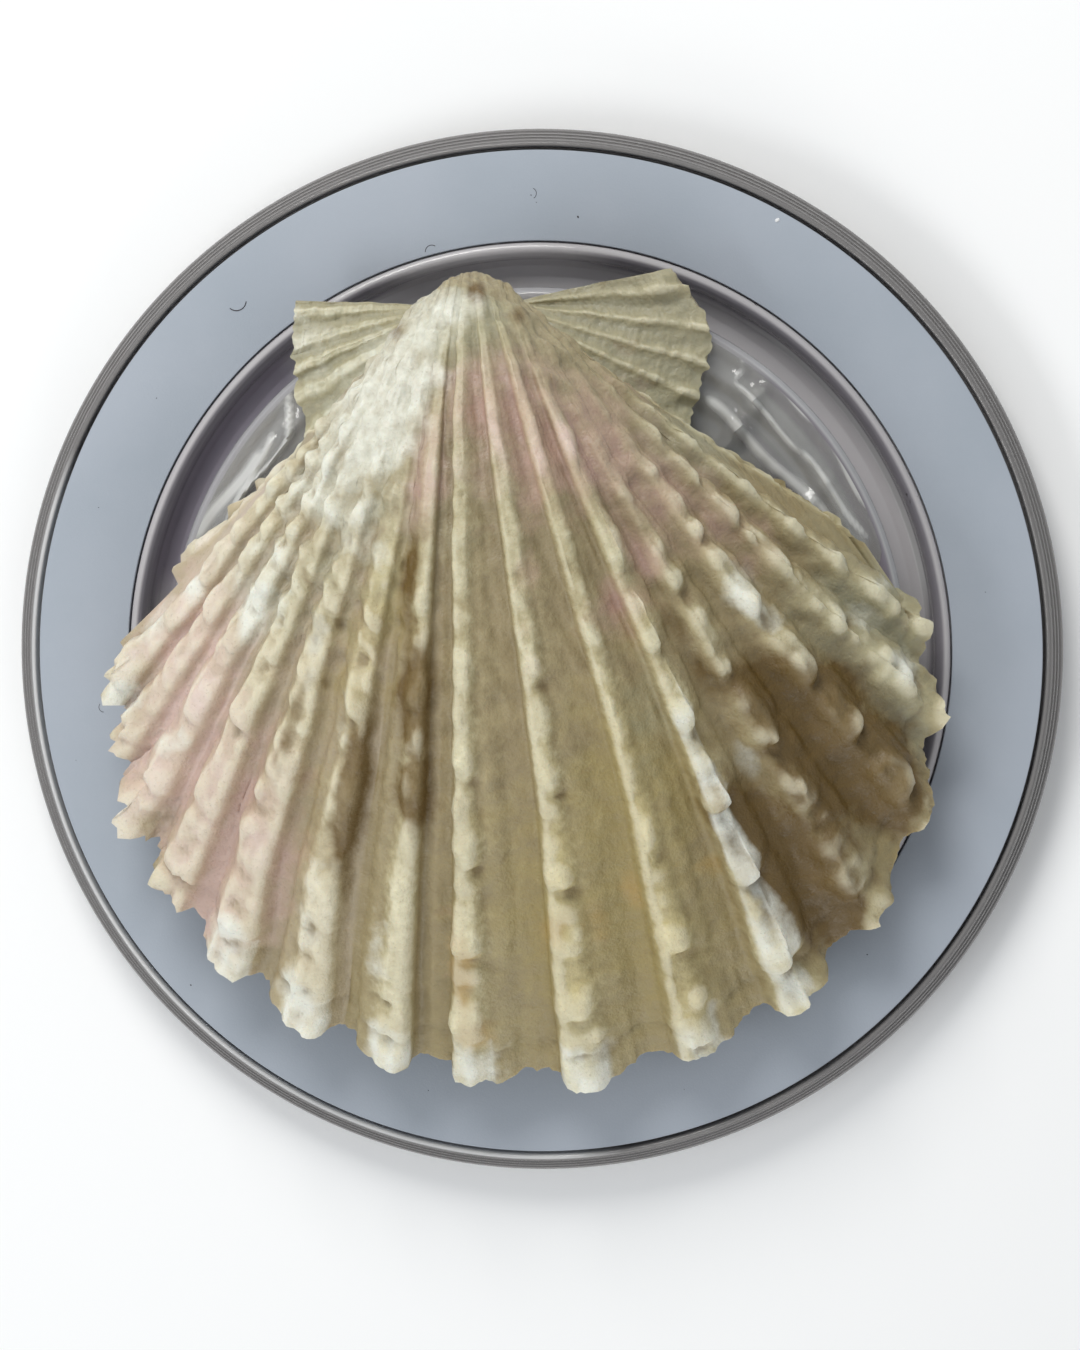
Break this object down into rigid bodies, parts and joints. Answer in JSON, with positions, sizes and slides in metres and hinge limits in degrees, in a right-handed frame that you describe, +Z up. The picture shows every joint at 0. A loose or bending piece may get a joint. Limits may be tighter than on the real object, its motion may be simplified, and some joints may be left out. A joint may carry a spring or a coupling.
{
  "type": "scallop shell on a clear base",
  "caption": "Ribbed scallop valve with ears, glued to a clear round base that carries a flat white ring; an ornament or a grip.",
  "frame": {"origin": "centre of the base's underside", "axes": "+Z up, out of the base; +Y towards the shell's hinge; +X to the right, seen from above with the hinge away"},
  "size_m": [0.0584, 0.0584, 0.0175],
  "materials": {
    "shell": "satin, ribbed, with stains",
    "clear_base": "clear, smoky",
    "ring": "matt, with dust",
    "clear_plate": "clear, smoky",
    "glue": "clear, uneven"
  },
  "bodies": {
    "root": {"scallop_shell": "shell", "base_tray": "clear_base", "white_ring": "ring", "top_plate": "clear_plate", "glue_plug": "glue"}
  },
  "joints": []
}
